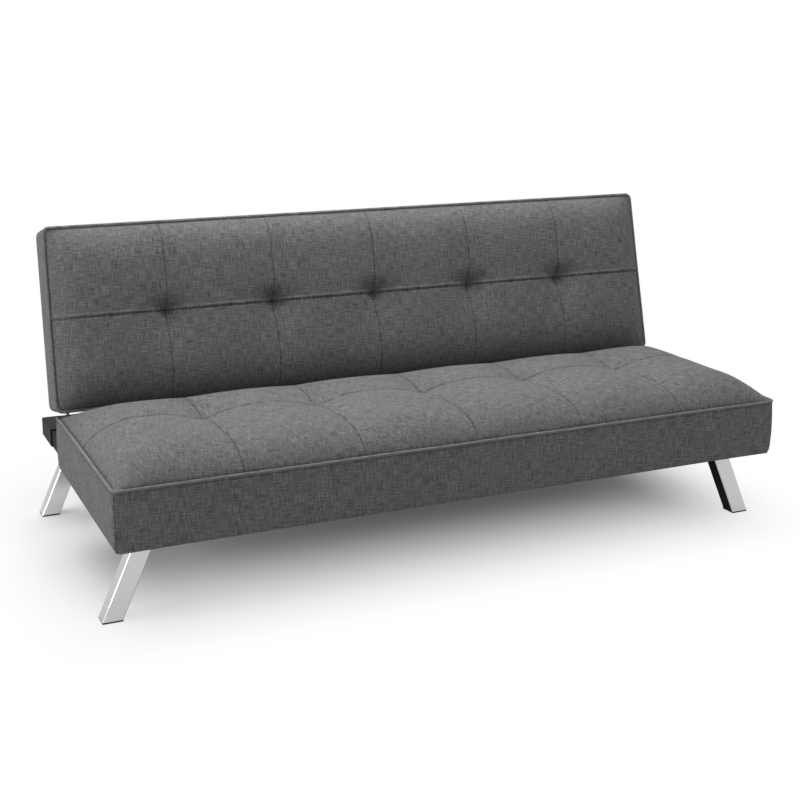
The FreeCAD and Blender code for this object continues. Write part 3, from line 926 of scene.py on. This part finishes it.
def rounded_loop(width, depth):
    half = width / 2 - PIPING_RADIUS + PROUD
    inset = PIPING_RADIUS - PROUD
    corners = ((1, depth - inset, 0), (-1, depth - inset, 90), (-1, inset, 180), (1, inset, 270))
    points = []
    for x_sign, y, turn in corners:
        centre = Vector((x_sign * (half - CORNER), y - CORNER if turn < 180 else y + CORNER, 0))
        for step in range(CORNER_STEPS + 1):
            angle = math.radians(turn + step * 90 / CORNER_STEPS)
            points.append(centre + CORNER * Vector((math.cos(angle), math.sin(angle), 0)))
    loop = []
    for start, end in zip(points, points[1:] + points[:1]):
        cuts = max(int((end - start).length / CORD_STEP), 1)
        loop += [start.lerp(end, number / cuts) for number in range(cuts)]
    return loop


print("seat piping path:", len(rounded_loop(SEAT_WIDTH, SEAT_DEPTH)), "points")

# %% [markdown]
# A curve with a round bevel is the quickest way to a tube of even thickness. It is then made a mesh. The
# bias strip shows the weave at a slant, so both of its coordinates run along the cord.

# %% Piping cords
CORD_WANDER = 0.8 * MM
CORD_WANDER_PITCH = 6.0
BIAS_STRETCH = 3


def bias_uv(point, normal):
    return (point[0] + point[1], point[2] * BIAS_STRETCH + point[1])


def piping_cord(name, width, depth):
    curve = bpy.data.curves.new(name, "CURVE")
    curve.dimensions = "3D"
    curve.bevel_depth = PIPING_RADIUS
    curve.bevel_resolution = 3
    loop = rounded_loop(width, depth)
    spline = curve.splines.new("POLY")
    spline.use_cyclic_u = True
    spline.points.add(len(loop) - 1)
    for point, spot in zip(spline.points, loop):
        wander = noise.noise(spot * CORD_WANDER_PITCH) * CORD_WANDER
        point.co = (spot.x, spot.y, wander, 1)
    obj = bpy.data.objects.new(name, curve)
    bpy.context.scene.collection.objects.link(obj)
    pick(obj)
    bpy.ops.object.convert(target="MESH")
    obj = bpy.context.object
    lay_cloth(obj, bias_uv, unsewn)
    bpy.ops.object.shade_smooth()
    dress(obj, PIPING_PAINTED_LIGHTER)
    print(name, "points", len(obj.data.vertices))
    return obj


seat_cord = piping_cord("seat_piping_cord", SEAT_WIDTH, SEAT_DEPTH)
lay_seat(seat_cord)
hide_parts("seat_piping")
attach(seat_cord, "base")

back_cord = piping_cord("back_piping_cord", SEAT_WIDTH, BACK_HEIGHT)
stand_back(back_cord)
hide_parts("back_piping")
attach(back_cord, "backrest")

# %% [markdown]
# ## Legs and glides
# Each leg is a square chromed tube cut level at both ends. A turned cube would need its ends trimmed, so
# the cube stays upright: it is stretched to the leg's height and its top is slid inwards. The long edges
# get the small radius that such tube has, and the broad faces stay flat, so that they mirror cleanly. A
# thin black strip lies on each leg's inner face. It is a painted reflection, standing in for the dark that
# this face of the chrome mirrors.

# %% Leg makers
EDGE_RADIUS = 3 * MM
PAINTED_REFLECTION_WIDTH = 0.6 * MM
BROAD_FACE_AREA = 2.5e-3


def leaning_cube(name, size, centre, slide):
    """A cube whose top is slid sideways."""
    obj = add_cube(name, size, centre)
    for vertex in obj.data.vertices:
        if vertex.co.z > centre[2]:
            vertex.co.x += slide
    return obj


def make_leg(name, size, centre, slide):
    leg = leaning_cube(name, size, centre, slide)
    round_uprights(leg, EDGE_RADIUS)
    smooth_by_angle(leg, degrees=30)
    for polygon in leg.data.polygons:
        polygon.use_smooth = polygon.area < BROAD_FACE_AREA
    dress(leg, CHROME)
    return leg


# The black strip is a painted dark reflection beside the chrome's inner face, not a part of the leg.
def make_painted_reflection(name, size, centre, slide, sign):
    strip = (PAINTED_REFLECTION_WIDTH, size[1] - 2 * EDGE_RADIUS, size[2])
    beside = (centre[0] - sign * (size[0] + PAINTED_REFLECTION_WIDTH) / 2, centre[1], centre[2])
    painted_reflection = leaning_cube(name, strip, beside, slide)
    dress(painted_reflection, BLACK_PLASTIC)
    return painted_reflection


print("leg edges have a radius of", EDGE_RADIUS / MM, "mm")

# %% [markdown]
# Under each foot is a moulded black pad. Little of it shows, so a cube of the solid's size with a small
# bevel on every edge is enough.

# %% Glide maker
GLIDE_RIM = 1.2 * MM


def make_glide(name, low, high):
    size = [high[axis] - low[axis] for axis in range(3)]
    middle = [(high[axis] + low[axis]) / 2 for axis in range(3)]
    glide = add_cube(name, size, middle)
    soften_rim(glide, GLIDE_RIM)
    smooth_by_angle(glide, degrees=30)
    dress(glide, BLACK_PLASTIC)
    return glide


print("glide rims have a radius of", GLIDE_RIM / MM, "mm")

# %% [markdown]
# The four legs take their sizes from the solids: the foot's width from the glide, and the slide from how
# much wider the leg's box is than its foot. A loop over ends and sides makes them, and the sign of a side
# turns its slide inwards.

# %% Legs
for end in ("front", "rear"):
    for side, sign in (("left", -1), ("right", 1)):
        low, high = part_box(f"leg_{end}_{side}")
        glide_low, glide_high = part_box(f"glide_{end}_{side}")
        width = glide_high[0] - glide_low[0]
        slide = -sign * (high[0] - low[0] - width)
        size = (width, high[1] - low[1], high[2] - low[2])
        centre = ((glide_low[0] + glide_high[0]) / 2, (low[1] + high[1]) / 2, (low[2] + high[2]) / 2)
        leg = make_leg(f"leg_tube_{end}_{side}", size, centre, slide)
        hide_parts(f"leg_{end}_{side}")
        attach(leg, "base")
        # A thin black strip on the leg's inner face: a painted dark reflection.
        painted_reflection = make_painted_reflection(f"leg_inlay_{end}_{side}", size, centre, slide, sign)
        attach(painted_reflection, "base")
        glide = make_glide(f"glide_pad_{end}_{side}", glide_low, glide_high)
        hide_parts(f"glide_{end}_{side}")
        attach(glide, "base")
        print("leg", end, side, "slides in", round(abs(slide), 3))

# %% [markdown]
# ## Finishes for the frame
# The rails, tubes, hinges and webbing keep their solid shapes, because little of them shows and their
# edges are right already. Each gets the finish that its slot names.

# %% Frame finishes
FINISHES = {"black_steel": BLACK_STEEL, "black_plastic": BLACK_PLASTIC, "zinc_steel": ZINC,
            "dust_cloth": DUST_CLOTH, "webbing": STRAP, "chrome": CHROME, "fabric": COVER, "piping": PIPING_PAINTED_LIGHTER}
slots = {part["node"]: part["material_slot"] for part in frame["record"]["subparts"]}
for name, node in frame["nodes"].items():
    dress(node, FINISHES[slots[name]])
print("finished nodes:", len(slots))

# %% [markdown]
# ## Floor
# The sofa was shot on white, with a soft shadow that follows its length. The floor is a grey plane that
# takes the shadow, and away from the sofa it turns to plain white for the camera and for mirrors.

# %% Floor
FLOOR_SIZE = 40
FLOOR_GREY = 0.5
bpy.ops.object.select_all(action="DESELECT")
bpy.ops.mesh.primitive_plane_add(size=FLOOR_SIZE, location=(0, 0, 0))
floor = bpy.context.object
floor.name = "studio_floor"
floor_material, floor_tree, floor_shader = principled("pale_floor")
floor_shader.inputs["Base Color"].default_value = (FLOOR_GREY, FLOOR_GREY, FLOOR_GREY, 1)
floor_shader.inputs["Roughness"].default_value = 0.9
floor_shader.inputs["Specular IOR Level"].default_value = 0.1
dress(floor, floor_material)
print("floor is", FLOOR_SIZE, "m wide")

# %% [markdown]
# Light Path tells which rays show a surface to the camera. Only those see the white; the light that the
# floor throws back on the sofa stays grey. In the chrome the white is dimmer, as in the photo.

# %% Floor fade
FADE_MIDDLE = (0.0, 0.2, 0.0)
FADE_ACROSS = (0.64, 1.06)
FADE_DEEP = (0.14, 0.8)
MIRRORED_FLOOR = 0.66


def seen_rays(tree):
    """1 for rays that show a surface to the camera, straight or by a mirror or glass."""
    rays = tree.nodes.new("ShaderNodeLightPath")
    seen = calculate(tree, "MAXIMUM", rays.outputs["Is Camera Ray"], rays.outputs["Is Glossy Ray"])
    return calculate(tree, "MAXIMUM", seen, rays.outputs["Is Transmission Ray"])


spot = add_node(floor_tree, "ShaderNodeTexCoord").outputs["Object"]
offset = add_node(floor_tree, "ShaderNodeVectorMath", [(0, spot), (1, FADE_MIDDLE)], operation="SUBTRACT")
away = add_node(floor_tree, "ShaderNodeVectorMath", [(0, offset.outputs[0])], operation="ABSOLUTE")
sides = add_node(floor_tree, "ShaderNodeSeparateXYZ", [("Vector", away.outputs[0])])
kept_across = rescale(floor_tree, sides.outputs["X"], (1.0, 0.0), FADE_ACROSS, "SMOOTHSTEP")
kept_deep = rescale(floor_tree, sides.outputs["Y"], (1.0, 0.0), FADE_DEEP, "SMOOTHSTEP")
fade = calculate(floor_tree, "SUBTRACT", 1.0, calculate(floor_tree, "MULTIPLY", kept_across, kept_deep))
plain = calculate(floor_tree, "MULTIPLY", fade, seen_rays(floor_tree))
mirrored = add_node(floor_tree, "ShaderNodeLightPath").outputs["Is Glossy Ray"]
glow = rescale(floor_tree, mirrored, (1.0, MIRRORED_FLOOR))
white = add_node(floor_tree, "ShaderNodeEmission", [("Strength", glow)])
both = add_node(floor_tree, "ShaderNodeMixShader", [("Fac", plain), (1, floor_shader.outputs[0]),
                                                    (2, white.outputs[0])])
floor_tree.links.new(both.outputs[0], floor_tree.nodes["Material Output"].inputs["Surface"])
print("floor nodes:", len(floor_tree.nodes))

# %% [markdown]
# ## World
# The world is white to the camera and to reflections, and dimmer as a light, so that the cloth keeps its
# own grey. With the Standard view transform, white stays plain white.

# %% World
WORLD_LIGHT = 0.72
world = bpy.data.worlds.new("studio")
bpy.context.scene.world = world
world.use_nodes = True
world_tree = world.node_tree
backdrop = world_tree.nodes["Background"]
backdrop.inputs["Color"].default_value = (1, 1, 1, 1)
level = rescale(world_tree, seen_rays(world_tree), (WORLD_LIGHT, 1.0))
world_tree.links.new(level, backdrop.inputs["Strength"])
bpy.context.scene.view_settings.view_transform = "Standard"
print("world light", WORLD_LIGHT)

# %% [markdown]
# ## Lights
# A broad softbox stands above and behind, which leaves the front border in shade as in the photo. A strip
# over the seat lights the back's upper half, a large fill the left end, and a weak one the right. Their
# powers were set by comparing the grey of each face with the photo.

# %% Lights
def softbox(name, place, aim, size, power):
    light = bpy.data.lights.new(name, "AREA")
    light.shape = "RECTANGLE"
    light.size = size[0]
    light.size_y = size[1]
    light.energy = power
    obj = bpy.data.objects.new(name, light)
    bpy.context.scene.collection.objects.link(obj)
    obj.location = place
    obj.rotation_euler = (Vector(aim) - Vector(place)).to_track_quat("-Z", "Y").to_euler()


softbox("top_light", place=(-0.3, 1.15, 3.1), aim=(0, -0.2, 0.3), size=(3.0, 1.2), power=99)
softbox("back_light", place=(0.0, -0.1, 1.8), aim=(0, 0.34, 0.66), size=(1.9, 0.3), power=14)
softbox("right_fill", place=(2.9, -2.6, 1.1), aim=(0.5, -0.3, 0.3), size=(1.2, 1.2), power=12)
softbox("left_fill", place=(-3.8, -0.1, 1.3), aim=(0, -0.1, 0.35), size=(1.8, 1.8), power=74)
print("lights:", len(bpy.data.lights))

# %% [markdown]
# ## Camera
# A camera placed by eye is never quite right, so this one was fitted to corners, seams and feet in the
# photo: where it stands, which way it looks, how long its lens is, and where in the picture its axis falls.

# %% Camera
PHOTO_SIZE = 800
FOCAL_PIXELS = 1332.3
CENTRE_PIXEL = (379.3, 331.8)
SENSOR = 36
YAW = math.radians(23.96)
PITCH = math.radians(12.75)
CAMERA_PLACE = (-1.3617, SEAT_FRONT - 2.5094, 1.2179)
camera_data = bpy.data.cameras.new("photo_view")
camera_data.sensor_width = SENSOR
camera_data.lens = FOCAL_PIXELS / PHOTO_SIZE * SENSOR
camera_data.shift_x = (PHOTO_SIZE / 2 - CENTRE_PIXEL[0]) / PHOTO_SIZE
camera_data.shift_y = (CENTRE_PIXEL[1] - PHOTO_SIZE / 2) / PHOTO_SIZE
camera = bpy.data.objects.new("photo_view", camera_data)
bpy.context.scene.collection.objects.link(camera)
camera.location = CAMERA_PLACE
forward = Vector((math.sin(YAW) * math.cos(PITCH), math.cos(YAW) * math.cos(PITCH), -math.sin(PITCH)))
camera.rotation_euler = forward.to_track_quat("-Z", "Y").to_euler()
bpy.context.scene.camera = camera
print("lens", round(camera_data.lens, 1), "mm")
